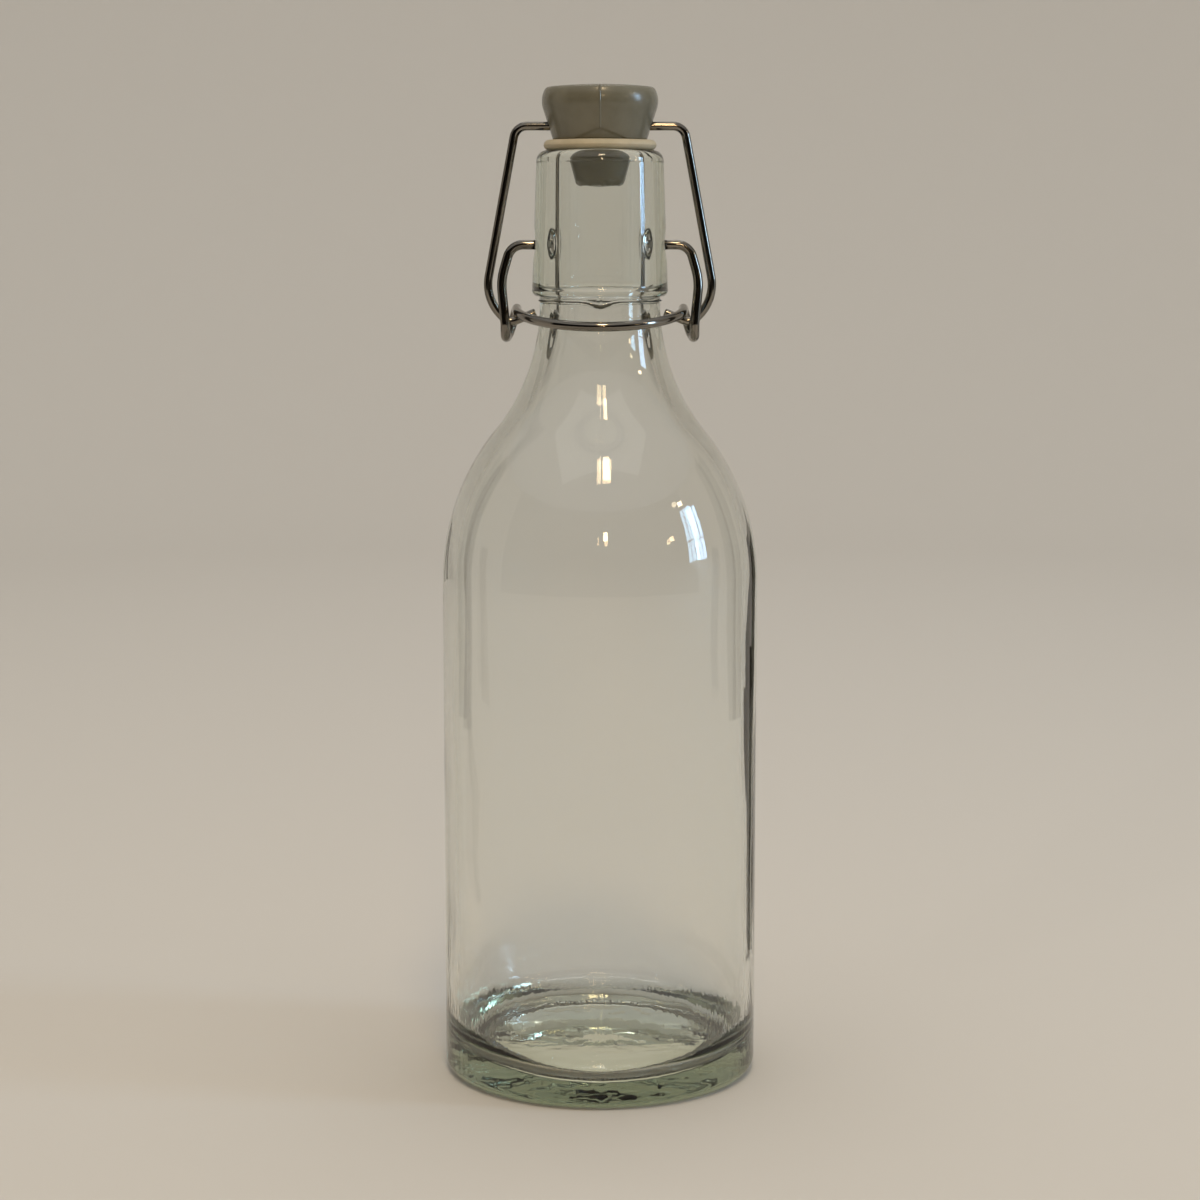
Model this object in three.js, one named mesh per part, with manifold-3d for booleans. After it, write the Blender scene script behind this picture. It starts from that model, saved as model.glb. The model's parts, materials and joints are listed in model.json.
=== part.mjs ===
// A half-litre swing-top bottle in clear glass. A moulded stopper with a rubber gasket closes the rim.
// A bail wire runs through the stopper, and a lever wire, hinged in two dimples of the collar, pulls it down.
// Millimetres, +Z up. The origin is the middle of the base, and the lever's finger ring faces -Y.
import * as THREE from "three";
import { mergeVertices } from "three/addons/utils/BufferGeometryUtils.js";
import Module from "manifold-3d";

// Glass body, from the base up
const bodyRadius = 36.5;
const bodyWall = 2.8;
const heelRadius = 3.2;
const bearingWidth = 3.5; // flat ring that the bottle stands on
const puntDepth = 2.2; // hollow under the base
const floorThickness = 6.5; // inner floor above the table, at the wall
const floorRise = 1.2; // inner floor is higher in the middle
const floorCornerRadius = 6;
const shoulderStart = 116; // top of the straight side
const shoulderRadius = 55;
const neckCurveRadius = 46;
const innerNeckCurveRadius = 50;

// Neck and collar
const boreRadius = 10.05;
const neckWall = 3.75;
const neckLength = 1.8; // straight neck below the collar
const collarHeight = 32.6;
const collarStep = 1.8; // how far the collar stands out from the neck
const collarTaper = 1.1; // how much the collar narrows towards the lip
const collarCornerRadius = 1.5;
const lipRadius = 2.4;
const innerLipRadius = 1;

// Dimples that hold the ends of the lever
const pivotHeight = 11.3; // above the collar's underside
const dimpleRadius = 3.3;
const dimpleDepth = 2.5;

// Gasket
const gasketThickness = 2.15;
const gasketInset = 1.6; // how far the gasket's edge lies inside the collar's top radius
const sealGap = 0.3; // above and below the gasket
const gasketBoreGap = 0.3;

// Stopper
const headRadius = 13.2;
const widestHeight = 8.05; // where the head is widest, above its underside
const crownRadius = 5.5;
const crownAngle = 28; // degrees, where the crown turns into the top edge
const topEdgeRadius = 1.4;
const topSlope = 6; // degrees, how steep the domed top is at its edge
const taperAngle = 18; // degrees, the lean of the head's side
const wireBoreHeight = 2.65; // above the head's underside
const wireBoreGap = 0.25;
const stemRadius = 5.6;
const plugClearance = 3.2; // between the plug and the bore of the neck
const plugTaper = 1.45; // how much the plug narrows towards its tip
const plugLength = 6.6;
const plugShoulder = 0.8; // slope between the stem and the plug
const plugStraight = 1.9; // full-width top of the plug
const plugTipRound = 0.5;

// Lever wire
const leverWireRadius = 1.1;
const pinGap = 0.3; // between the wire's end and the dimple
const leverSideGap = 6.4; // from the collar to the middle of the leg
const leverBendRadius = 4.5;
const legLean = 0.4; // how far the leg leans in on its way down
const eyeDrop = 17.8; // from the pivot down to the middle of the eye
const eyeSetback = 1.6; // the eye lies behind the pivot, so that the closed lever is past its dead centre
const eyePlay = 1.2; // between the bail wire and the eye
const eyeCrossing = 0.35; // between the two wires where the eye closes
const ringReach = 22.2; // from the bottle's axis to the front of the finger ring
const ringFall = 3.35; // the ring is lower at the front

// Bail wire
const bailWireRadius = 1;
const bailTopGap = 5.9; // from the stopper's head to the upper bend
const bailUpperBend = 3;
const bailSideGap = 4.1; // from the lever's leg to the lower bend
const bailLowerBend = 7;
const bailHang = 0.3; // between the hook and the top of the eye
const hookRise = 4.7; // lower bend above the eye's pivot
const hookDepth = 1; // foot of the hook below the eye's pivot
const hookBend = 2.5;
const hookTipRise = 1.5; // free end above the eye's pivot
const hookTipGap = 0.8; // free end to the neck

// Facets
const turnFacets = 48;
const smallTurnFacets = 40;
const dimpleFacets = 24;
const holeFacets = 20;
const wireSides = 10;
const wireStep = 1.3;
const chordError = 0.1; // most that an arc's chords leave it by

const radians = THREE.MathUtils.degToRad;
const degrees = THREE.MathUtils.radToDeg;
const at = (radius, height) => new THREE.Vector2(radius, height);

// Points of an arc in a profile's plane, from one angle to the other, in degrees.
function arc(centre, radius, from, to) {
  const step = 2 * Math.acos(1 - chordError / radius);
  const count = Math.max(2, Math.ceil(radians(Math.abs(to - from)) / step));
  const points = [];
  for (let i = 0; i <= count; i += 1) {
    const angle = radians(from + ((to - from) * i) / count);
    points.push(at(centre.x + radius * Math.cos(angle), centre.y + radius * Math.sin(angle)));
  }
  return points;
}

// The radius of the sphere whose cap has this edge radius and height.
const capSphere = (radius, rise) => (radius ** 2 + rise ** 2) / (2 * rise);

// An arc from the edge of a shallow dome up to its top on the axis.
function dome(radius, edgeHeight, rise) {
  const sphere = capSphere(radius, rise);
  const edgeAngle = 90 - degrees(Math.asin(radius / sphere));
  const points = arc(at(0, edgeHeight + rise - sphere), sphere, edgeAngle, 90);
  points[points.length - 1].x = 0;
  return points;
}

// A profile of radius and height turned about Z.
function turned(profile, facets) {
  return new THREE.LatheGeometry(profile, facets).rotateX(Math.PI / 2);
}

const wasm = await Module();
wasm.setup();

function solidOf(geometry) {
  const bare = geometry.clone();
  bare.deleteAttribute("normal");
  bare.deleteAttribute("uv");
  const merged = mergeVertices(bare);
  const vertProperties = new Float32Array(merged.attributes.position.array);
  const triVerts = new Uint32Array(merged.index.array);
  return new wasm.Manifold(new wasm.Mesh({ numProp: 3, vertProperties, triVerts }));
}

// The geometry with each of the tools cut out of it.
function cut(geometry, tools) {
  const result = tools.reduce((solid, tool) => solid.subtract(solidOf(tool)), solidOf(geometry));
  const mesh = result.getMesh();
  const made = new THREE.BufferGeometry();
  made.setAttribute("position", new THREE.BufferAttribute(mesh.vertProperties, 3));
  made.setIndex(new THREE.BufferAttribute(mesh.triVerts, 1));
  made.computeVertexNormals();
  return made;
}

// Heights and radii that follow from the sizes above
const neckRadius = boreRadius + neckWall;
const collarRadius = neckRadius + collarStep;
const collarTopRadius = collarRadius - collarTaper;
const shoulderCentre = at(bodyRadius - shoulderRadius, shoulderStart);

// The concave neck curve that runs into the convex shoulder curve: its centre and the angle where they meet.
function neckCurve(shoulder, curve, radius) {
  const across = radius + curve - shoulderCentre.x;
  const up = Math.sqrt((shoulder + curve) ** 2 - across ** 2);
  const centre = at(radius + curve, shoulderCentre.y + up);
  return { centre, angle: degrees(Math.atan2(up, across)) };
}

const innerShoulderRadius = shoulderRadius - bodyWall;
const outerNeck = neckCurve(shoulderRadius, neckCurveRadius, neckRadius);
const innerNeck = neckCurve(innerShoulderRadius, innerNeckCurveRadius, boreRadius);
const collarBottom = outerNeck.centre.y + neckLength;
const rimHeight = collarBottom + collarHeight;
const pivotZ = collarBottom + pivotHeight;
const gasketBottom = rimHeight + sealGap;
const headBottom = gasketBottom + gasketThickness + sealGap;
const wireBoreZ = headBottom + wireBoreHeight;

function neckRadiusAt(height) {
  const below = Math.max(0, outerNeck.centre.y - height);
  return outerNeck.centre.x - Math.sqrt(neckCurveRadius ** 2 - below ** 2);
}

function collarRadiusAt(height) {
  const share = (height - collarBottom) / (collarHeight - lipRadius);
  return collarRadius - collarTaper * share;
}

// Glass bottle
function bottleProfile() {
  const bearingOuter = bodyRadius - heelRadius;
  const bearingInner = bearingOuter - bearingWidth;
  const innerRadius = bodyRadius - bodyWall;
  const floorRadius = innerRadius - floorCornerRadius;
  const lipCentre = at(collarTopRadius - lipRadius, rimHeight - lipRadius);
  const innerLipCentre = at(boreRadius + innerLipRadius, rimHeight - innerLipRadius);
  const cornerCentre = at(collarRadius - collarCornerRadius, collarBottom + collarCornerRadius);
  return [
    ...dome(bearingInner, 0, puntDepth).reverse(),
    ...arc(at(bearingOuter, heelRadius), heelRadius, -90, 0),
    ...arc(shoulderCentre, shoulderRadius, 0, outerNeck.angle),
    ...arc(outerNeck.centre, neckCurveRadius, 180 + outerNeck.angle, 180).slice(1),
    at(neckRadius, collarBottom),
    ...arc(cornerCentre, collarCornerRadius, -90, 0),
    ...arc(lipCentre, lipRadius, 0, 90),
    ...arc(innerLipCentre, innerLipRadius, 90, 180),
    ...arc(innerNeck.centre, innerNeckCurveRadius, 180, 180 + innerNeck.angle),
    ...arc(shoulderCentre, innerShoulderRadius, innerNeck.angle, 0).slice(1),
    ...arc(at(floorRadius, floorThickness + floorCornerRadius), floorCornerRadius, 0, -90),
    ...dome(floorRadius, floorThickness, floorRise).slice(1),
  ];
}

const dimpleSphere = capSphere(dimpleRadius, dimpleDepth);
const dimpleCentre = collarRadiusAt(pivotZ) - dimpleDepth + dimpleSphere;

function bottle() {
  const ball = new THREE.SphereGeometry(dimpleSphere, dimpleFacets, dimpleFacets / 2);
  const dimples = [-1, 1].map((side) => ball.clone().translate(side * dimpleCentre, 0, pivotZ));
  return cut(turned(bottleProfile(), turnFacets), dimples);
}

// Gasket, a flat ring with a rounded edge
function gasket() {
  const hole = stemRadius + gasketBoreGap;
  const half = gasketThickness / 2;
  const edge = at(collarTopRadius - gasketInset - half, gasketBottom + half);
  const profile = [
    at(hole, gasketBottom),
    ...arc(edge, half, -90, 90),
    at(hole, gasketBottom + gasketThickness),
    at(hole, gasketBottom),
  ];
  return turned(profile, smallTurnFacets);
}

// Stopper, a tapered head with a domed top, a stem for the gasket and a plug
function stopperProfile() {
  const plugRadius = boreRadius - plugClearance;
  const tipRadius = plugRadius - plugTaper;
  const stemBottom = gasketBottom - sealGap;
  const plugTop = stemBottom - plugShoulder;
  const tip = plugTop - plugLength;
  const crown = at(headRadius - crownRadius, headBottom + widestHeight);
  const reach = crownRadius - topEdgeRadius;
  const edgeX = crown.x + reach * Math.cos(radians(crownAngle));
  const edgeY = crown.y + reach * Math.sin(radians(crownAngle));
  const edge = arc(at(edgeX, edgeY), topEdgeRadius, crownAngle, 90 - topSlope);
  const last = edge[edge.length - 1];
  const crownArc = arc(crown, crownRadius, -taperAngle, crownAngle);
  const underside = crownArc[0].x - (crownArc[0].y - headBottom) * Math.tan(radians(taperAngle));
  const domeRise = last.x * Math.tan(radians(topSlope / 2));
  return [
    at(0, tip),
    at(tipRadius - plugTipRound, tip),
    at(tipRadius, tip + plugTipRound),
    at(plugRadius, plugTop - plugStraight),
    at(plugRadius, plugTop),
    at(stemRadius, stemBottom),
    at(stemRadius, headBottom),
    at(underside, headBottom),
    ...crownArc,
    ...edge.slice(1),
    ...dome(last.x, last.y, domeRise).slice(1),
  ];
}

function stopper() {
  const holeRadius = bailWireRadius + wireBoreGap;
  const through = 2 * (headRadius + bailTopGap);
  const hole = new THREE.CylinderGeometry(holeRadius, holeRadius, through, holeFacets)
    .rotateZ(Math.PI / 2)
    .translate(0, 0, wireBoreZ);
  return cut(turned(stopperProfile(), smallTurnFacets), [hole]);
}

// Wires: a corner of a bent wire, rounded to a radius.
class Bend extends THREE.Curve {
  constructor(before, corner, after, radius) {
    super();
    this.radius = radius;
    this.along = corner.clone().sub(before).normalize();
    const away = after.clone().sub(corner).normalize();
    this.turn = this.along.angleTo(away);
    this.start = corner.clone().addScaledVector(this.along, -radius * Math.tan(this.turn / 2));
    this.inward = away.addScaledVector(this.along, -away.dot(this.along)).normalize();
  }

  getPoint(t, target = new THREE.Vector3()) {
    const angle = this.turn * t;
    return target
      .copy(this.start)
      .addScaledVector(this.along, this.radius * Math.sin(angle))
      .addScaledVector(this.inward, this.radius * (1 - Math.cos(angle)));
  }
}

// The same curve on the other side of the bottle, followed the other way.
class OtherSide extends THREE.Curve {
  constructor(curve) {
    super();
    this.curve = curve;
  }

  getPoint(t, target = new THREE.Vector3()) {
    this.curve.getPoint(1 - t, target);
    target.x = -target.x;
    return target;
  }
}

// The eye at the foot of the lever: from the leg in front, down, back and up, moving inwards, to its top.
class EyeTurn extends THREE.Curve {
  constructor(centre, radius, shift, turn) {
    super();
    Object.assign(this, { centre, radius, shift, turn });
  }

  getPoint(t, target = new THREE.Vector3()) {
    const angle = this.turn * t;
    const x = this.centre.x - this.shift * THREE.MathUtils.smootherstep(t, 0, 1);
    const y = this.centre.y - this.radius * Math.cos(angle);
    const z = this.centre.z - this.radius * Math.sin(angle);
    return target.set(x, y, z);
  }
}

// The finger ring: half an ellipse in a plane that falls towards the front.
class FingerRing extends THREE.Curve {
  constructor(start, reach, slope) {
    super();
    Object.assign(this, { start, reach, slope });
  }

  getPoint(t, target = new THREE.Vector3()) {
    const angle = Math.PI * t;
    const forward = this.reach * Math.sin(angle);
    const y = this.start.y - forward * Math.cos(this.slope);
    const z = this.start.z - forward * Math.sin(this.slope);
    return target.set(this.start.x * Math.cos(angle), y, z);
  }
}

// A wire through corners, each rounded, from the first point to the last.
function bentWire(points, radii) {
  const curves = [];
  let from = points[0];
  radii.forEach((radius, i) => {
    const bend = new Bend(points[i], points[i + 1], points[i + 2], radius);
    curves.push(new THREE.LineCurve3(from, bend.getPoint(0)), bend);
    from = bend.getPoint(1);
  });
  curves.push(new THREE.LineCurve3(from, points[points.length - 1]));
  return curves;
}

// A round wire along one side's curves, the middle and the other side's.
function wire(side, middle, radius) {
  const path = new THREE.CurvePath();
  const back = side.map((curve) => new OtherSide(curve)).reverse();
  [...side, ...middle, ...back].forEach((curve) => path.add(curve));
  const section = new THREE.Shape().absarc(0, 0, radius, 0, 2 * Math.PI);
  const steps = Math.round(path.getLength() / wireStep);
  const curveSegments = wireSides / 2; // a circle has two sides for each
  return new THREE.ExtrudeGeometry(section, { steps, curveSegments, extrudePath: path });
}

// Lever wire, drawn about its pivot
const legX = collarRadius + leverSideGap;
const eyeX = legX - legLean;
const eyeRadius = bailWireRadius + eyePlay + leverWireRadius;
const eyeCentre = new THREE.Vector3(eyeX, eyeSetback, -eyeDrop);

function leverWire() {
  const floorX = dimpleCentre - Math.sqrt(dimpleSphere ** 2 - leverWireRadius ** 2);
  const pinEnd = new THREE.Vector3(floorX + pinGap, 0, 0);
  const corner = new THREE.Vector3(legX, 0, 0);
  const eyeFront = new THREE.Vector3(eyeX, eyeSetback - eyeRadius, -eyeDrop);
  const legs = bentWire([pinEnd, corner, eyeFront], [leverBendRadius]);
  const slope = Math.asin(ringFall / (ringReach + eyeSetback));
  const shift = 2 * leverWireRadius + eyeCrossing;
  const threeQuarterTurn = 1.5 * Math.PI;
  const eye = new EyeTurn(eyeCentre, eyeRadius, shift, threeQuarterTurn + slope);
  const start = eye.getPoint(1);
  const ring = new FingerRing(start, (ringReach + start.y) / Math.cos(slope), slope);
  return wire([...legs, eye], [ring], leverWireRadius);
}

// Bail wire, drawn flat in XZ about its run through the stopper
const eyePivot = new THREE.Vector3(0, eyeSetback, pivotZ - eyeDrop + eyePlay - bailHang);
const bailLean = Math.atan2(eyePivot.y, wireBoreZ - eyePivot.z);
const bailLength = Math.hypot(eyePivot.y, wireBoreZ - eyePivot.z);

function bailWire() {
  const drawn = (x, aboveEye) => new THREE.Vector3(x, 0, aboveEye - bailLength);
  const topCorner = drawn(headRadius + bailTopGap, bailLength);
  const lowerCorner = drawn(legX + bailSideGap, hookRise);
  const inward = (lowerCorner.x - eyeX) / hookRise;
  const foot = drawn(eyeX - inward * hookDepth, -hookDepth);
  const tip = drawn(neckRadiusAt(eyePivot.z) + hookTipGap, hookTipRise);
  const top = drawn(0, bailLength);
  const radii = [hookBend, bailLowerBend, bailUpperBend];
  return wire(bentWire([tip, foot, lowerCorner, topCorner, top], radii), [], bailWireRadius);
}

// Materials
const clearGlass = new THREE.MeshStandardMaterial({
  color: 0xd4dacb,
  roughness: 0.04,
  metalness: 0,
  transparent: true,
  opacity: 0.35,
});
const mouldedPlastic = new THREE.MeshStandardMaterial({ color: 0x7d7768, roughness: 0.38, metalness: 0 });
const creamRubber = new THREE.MeshStandardMaterial({ color: 0xb9ae92, roughness: 0.6, metalness: 0 });
const steelWire = new THREE.MeshStandardMaterial({ color: 0x9a9692, roughness: 0.22, metalness: 1 });

function named(name, geometry, material) {
  const mesh = new THREE.Mesh(geometry, material);
  mesh.name = name;
  return mesh;
}

const swingTopBottle = new THREE.Group();
swingTopBottle.add(named("glass_bottle", bottle(), clearGlass));
swingTopBottle.add(named("gasket", gasket(), creamRubber));
swingTopBottle.add(named("stopper", stopper(), mouldedPlastic));

const lever = named("lever_wire", leverWire(), steelWire);
lever.position.z = pivotZ;
swingTopBottle.add(lever);

const bail = named("bail_wire", bailWire(), steelWire);
bail.position.z = wireBoreZ;
bail.rotation.x = bailLean;
swingTopBottle.add(bail);

export default swingTopBottle;
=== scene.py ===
import json
import math

import bmesh
import bpy
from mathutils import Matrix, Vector, noise


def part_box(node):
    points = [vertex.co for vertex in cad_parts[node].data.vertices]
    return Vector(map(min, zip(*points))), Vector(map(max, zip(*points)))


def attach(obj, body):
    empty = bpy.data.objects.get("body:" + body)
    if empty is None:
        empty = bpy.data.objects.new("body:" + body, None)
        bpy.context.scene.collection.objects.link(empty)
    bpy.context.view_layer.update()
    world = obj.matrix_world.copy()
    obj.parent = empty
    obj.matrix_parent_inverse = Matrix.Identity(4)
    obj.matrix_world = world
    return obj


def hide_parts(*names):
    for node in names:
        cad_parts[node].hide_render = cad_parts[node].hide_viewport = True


mm = 0.001  # sizes are written in millimetres, Blender works in metres
fullTurn = 2 * math.pi
sameSpot = 1e-6  # points closer than this count as one

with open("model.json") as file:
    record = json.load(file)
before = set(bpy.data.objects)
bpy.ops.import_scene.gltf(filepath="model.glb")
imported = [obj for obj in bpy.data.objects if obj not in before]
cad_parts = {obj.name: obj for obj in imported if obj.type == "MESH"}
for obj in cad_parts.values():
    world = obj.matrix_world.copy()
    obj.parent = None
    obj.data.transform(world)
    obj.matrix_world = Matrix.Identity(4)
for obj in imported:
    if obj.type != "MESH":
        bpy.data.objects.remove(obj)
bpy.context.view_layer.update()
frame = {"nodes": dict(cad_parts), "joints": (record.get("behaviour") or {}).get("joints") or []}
pivots = {joint["name"]: Vector(joint["pos_m"]) / mm for joint in frame["joints"]}
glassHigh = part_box("glass_bottle")[1] / mm
print("frame loaded with", len(frame["nodes"]), "nodes")


# Small tools
def linearColour(code):
    channels = [int(code[i : i + 2], 16) / 255 for i in (1, 3, 5)]
    return [c / 12.92 if c <= 0.04045 else ((c + 0.055) / 1.055) ** 2.4 for c in channels] + [1.0]


def addNode(tree, kind, inputs=None, **settings):
    node = tree.nodes.new(kind)
    for name, value in settings.items():
        setattr(node, name, value)
    for key, value in (inputs or {}).items():
        if isinstance(value, bpy.types.NodeSocket):
            tree.links.new(value, node.inputs[key])
        else:
            node.inputs[key].default_value = value
    return node


def newMaterial(name):
    material = bpy.data.materials.new(name)
    material.use_nodes = True
    material.node_tree.nodes.clear()
    return material, material.node_tree


def newObject(name, data):
    made = bpy.data.objects.new(name, data)
    bpy.context.scene.collection.objects.link(made)
    return made


def meshFrom(bm, name):
    mesh = bpy.data.meshes.new(name)
    bm.to_mesh(mesh)
    bm.free()
    return mesh


def modifiedMesh(source, modifier):
    graph = bpy.context.evaluated_depsgraph_get()
    mesh = bpy.data.meshes.new_from_object(source.evaluated_get(graph), depsgraph=graph)
    source.modifiers.remove(modifier)
    return mesh


def arcPoints(centre, radius, start, end, step):
    count = max(2, math.ceil(abs(math.radians(end - start)) * radius / step))
    angles = [math.radians(start + (end - start) * i / count) for i in range(count + 1)]
    return [(centre[0] + radius * math.cos(a), centre[1] + radius * math.sin(a)) for a in angles]


def linePoints(start, end, step):
    count = max(1, math.ceil(math.dist(start, end) / step))
    return [tuple(a + (b - a) * i / count for a, b in zip(start, end)) for i in range(count + 1)]


def domePoints(radius, edge, rise, step):
    sphere = (radius**2 + rise**2) / (2 * rise)
    edgeAngle = 90 - math.degrees(math.asin(radius / sphere))
    points = arcPoints((0, edge + rise - sphere), sphere, edgeAngle, 90, step)
    return points[:-1] + [(0, edge + rise)]


def hump(distance, width):
    return math.exp(-((distance / width) ** 2))


def softStep(low, high, value):
    share = min(1, max(0, (value - low) / (high - low)))
    return share * share * (3 - 2 * share)


def apart(angle, other):
    return abs((angle - other + math.pi) % fullTurn - math.pi)


def ringPoint(radius, angle, height):
    return (radius * math.cos(angle) * mm, radius * math.sin(angle) * mm, height * mm)


def ringNoise(angle, waves, level):
    return noise.noise(Vector((waves * math.cos(angle), waves * math.sin(angle), level)))


# Turned shapes: a row is a zone, a radius and a height, and the rows run with the outside on their right.
def joinRings(bm, lower, upper):
    if len(lower) == 1 or len(upper) == 1:
        tip, ring = (lower, upper) if len(lower) == 1 else (upper, lower)
        for (_, a), (_, b) in zip(ring, ring[1:] + ring[:1]):
            bm.faces.new((tip[0][1], b, a) if tip is lower else (a, b, tip[0][1]))
        return
    if len(lower) == len(upper):
        for a, b, c, d in zip(lower, lower[1:] + lower[:1], upper[1:] + upper[:1], upper):
            bm.faces.new((a[1], b[1], c[1], d[1]))
        return
    low = lower + [(lower[0][0] + fullTurn, lower[0][1])]
    high = upper + [(upper[0][0] + fullTurn, upper[0][1])]
    i = j = 0
    while i < len(lower) or j < len(upper):
        if j == len(upper) or (i < len(lower) and low[i + 1][0] <= high[j + 1][0]):
            bm.faces.new((low[i][1], low[i + 1][1], high[j][1]))
            i += 1
        else:
            bm.faces.new((low[i][1], high[j + 1][1], high[j][1]))
            j += 1


def turnedMesh(name, rows, columns, relief):
    bm = bmesh.new()
    rings = []
    for index, (zone, radius, height) in enumerate(rows):
        if radius < sameSpot:
            rings.append([(0, bm.verts.new((0, 0, height * mm)))])
            continue
        before, after = rows[max(index - 1, 0)], rows[min(index + 1, len(rows) - 1)]
        along = Vector((after[1] - before[1], after[2] - before[2])).normalized()
        ring = []
        for angle in columns(zone):
            lift = relief(zone, radius, height, angle)
            r, z = radius + along.y * lift, height - along.x * lift
            ring.append((angle, bm.verts.new(ringPoint(r, angle, z))))
        rings.append(ring)
    for lower, upper in zip(rings, rings[1:]):
        joinRings(bm, lower, upper)
    if rows[0][1] > 0:  # a ring shape closes on itself
        joinRings(bm, rings[-1], rings[0])
    for face in bm.faces:
        face.smooth = True
    return meshFrom(bm, name)


def zoned(sections):
    rows = []
    for zone, points in sections:
        for r, z in points:
            if not rows or math.dist(rows[-1][1:], (r, z)) > sameSpot:
                rows.append((zone, r, z))
    return rows


def evenAngles(count):
    return [fullTurn * i / count for i in range(count)]


def newTree(name, inputs, output):
    tree = bpy.data.node_groups.new(name, "GeometryNodeTree")
    for label, kind in inputs.items():
        tree.interface.new_socket(label, in_out="INPUT", socket_type="NodeSocket" + kind)
    tree.interface.new_socket(output, in_out="OUTPUT", socket_type="NodeSocketGeometry")
    return tree, addNode(tree, "NodeGroupInput").outputs


def meshFromTree(source, tree, values, name):
    modifier = source.modifiers.new(tree.name, "NODES")
    modifier.node_group = tree
    sockets = {item.name: item.identifier for item in tree.interface.items_tree if item.in_out == "INPUT"}
    for label, value in values.items():
        modifier[sockets[label]] = value
    mesh = modifiedMesh(source, modifier)
    bpy.data.objects.remove(source)
    mesh.name = name
    return newObject(name, mesh)


def placePiece(piece, node, body):
    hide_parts(node)
    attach(piece, body)
    print(piece.name, "has", sum(len(p.vertices) - 2 for p in piece.data.polygons), "triangles")


# Camera at the photograph's angle
view = {"distance": 626.87, "height": 196.7, "tiltDown": 7.777, "lens": 81.72, "sensor": 36}

cameraData = bpy.data.cameras.new("photoCamera")
cameraData.lens = view["lens"]
cameraData.sensor_width = view["sensor"]
camera = newObject("photoCamera", cameraData)
camera.location = (0, -view["distance"] * mm, view["height"] * mm)
camera.rotation_euler = (math.radians(90 - view["tiltDown"]), 0, 0)
bpy.context.scene.camera = camera
bpy.context.scene.view_settings.view_transform = "Standard"
print("camera placed")


# Soda-lime container glass, blown into a mould: clear and glossy, faintly green where light runs far through
# it, with shallow chill wrinkles low on the side where the hot glass met the cold mould.
glassLook = {
    "tint": "#becbab",
    "absorption": 30,  # per metre
    "ior": 1.52,
    "roughness": 0.012,
    "wrinkleWide": 1.6,
    "wrinkleTall": 5,
    "wrinkleTop": 42,  # where the wrinkles fade out
    "wrinkleLeft": 0.04,  # share of them that is left above
    "wrinkleFrom": 34.8,  # distance from the axis, so that only the outside has them
    "wrinkleEdge": 1,  # they set in over this distance
    "wrinkleDepth": 0.12,
}


def sodaLimeGlass():
    look = glassLook
    material, tree = newMaterial("soda_lime_glass")
    place = addNode(tree, "ShaderNodeTexCoord").outputs["Object"]
    perMetre = [1 / (look[k] * mm) for k in ("wrinkleWide", "wrinkleWide", "wrinkleTall")]
    stretched = addNode(tree, "ShaderNodeMapping", {"Vector": place, "Scale": perMetre})
    ripples = addNode(tree, "ShaderNodeTexNoise", {"Vector": stretched.outputs[0], "Scale": 1, "Detail": 2})
    height = addNode(tree, "ShaderNodeSeparateXYZ", {"Vector": place}).outputs["Z"]
    low = addNode(
        tree,
        "ShaderNodeMapRange",
        {
            "Value": height,
            "From Min": 0,
            "From Max": look["wrinkleTop"] * mm,
            "To Min": 1,
            "To Max": look["wrinkleLeft"],
        },
        interpolation_type="SMOOTHSTEP",
    )
    level = addNode(tree, "ShaderNodeVectorMath", {0: place, 1: (1, 1, 0)}, operation="MULTIPLY")
    reach = addNode(tree, "ShaderNodeVectorMath", {0: level.outputs[0]}, operation="LENGTH")
    outside = addNode(
        tree,
        "ShaderNodeMapRange",
        {
            "Value": reach.outputs["Value"],
            "From Min": look["wrinkleFrom"] * mm,
            "From Max": (look["wrinkleFrom"] + look["wrinkleEdge"]) * mm,
        },
    )
    strength = addNode(
        tree, "ShaderNodeMath", {0: low.outputs[0], 1: outside.outputs[0]}, operation="MULTIPLY"
    )
    wrinkles = addNode(
        tree,
        "ShaderNodeBump",
        {
            "Height": ripples.outputs[0],
            "Strength": strength.outputs[0],
            "Distance": look["wrinkleDepth"] * mm,
        },
    )
    shader = addNode(
        tree,
        "ShaderNodeBsdfPrincipled",
        {
            "Base Color": (1, 1, 1, 1),
            "Roughness": look["roughness"],
            "IOR": look["ior"],
            "Transmission Weight": 1,
            "Normal": wrinkles.outputs[0],
        },
    )
    tinted = addNode(
        tree,
        "ShaderNodeVolumeAbsorption",
        {"Color": linearColour(look["tint"]), "Density": look["absorption"]},
    )
    addNode(tree, "ShaderNodeOutputMaterial", {"Surface": shader.outputs[0], "Volume": tinted.outputs[0]})
    return material


# Stopper plastic, injection moulded: a greyish beige with a satin skin and faint flow clouds.
plasticLook = {
    "light": "#6e6b5d",
    "dark": "#666355",
    "spread": (0.35, 0.65),  # of the noise, from the dark colour to the light one
    "cloud": 6,
    "grain": 0.35,  # coarser than the real mould grain, so that it shows
    "relief": 0.012,
    "roughness": (0.18, 0.3),
}

# Gasket rubber, moulded: cream and dull, with a fine dusty skin.
rubberLook = {
    "light": "#bdb197",
    "dark": "#b0a58b",
    "spread": (0.35, 0.65),
    "cloud": 4,
    "grain": 0.3,
    "relief": 0.015,
    "roughness": (0.48, 0.62),
}

# Soda-lime glass where dust stays, on the worn ridges that the bottle stands on and in the mould's parting
# line: dull for the wear and dust, and coloured dark as painted shade, so they show dark beside the clear
# glass.
scuffAndShadeLook = {
    "light": "#4b4b40",
    "dark": "#2f3029",
    "spread": (0.35, 0.65),
    "cloud": 5,
    "grain": 0.3,
    "relief": 0.01,
    "roughness": (0.5, 0.7),
}


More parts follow.
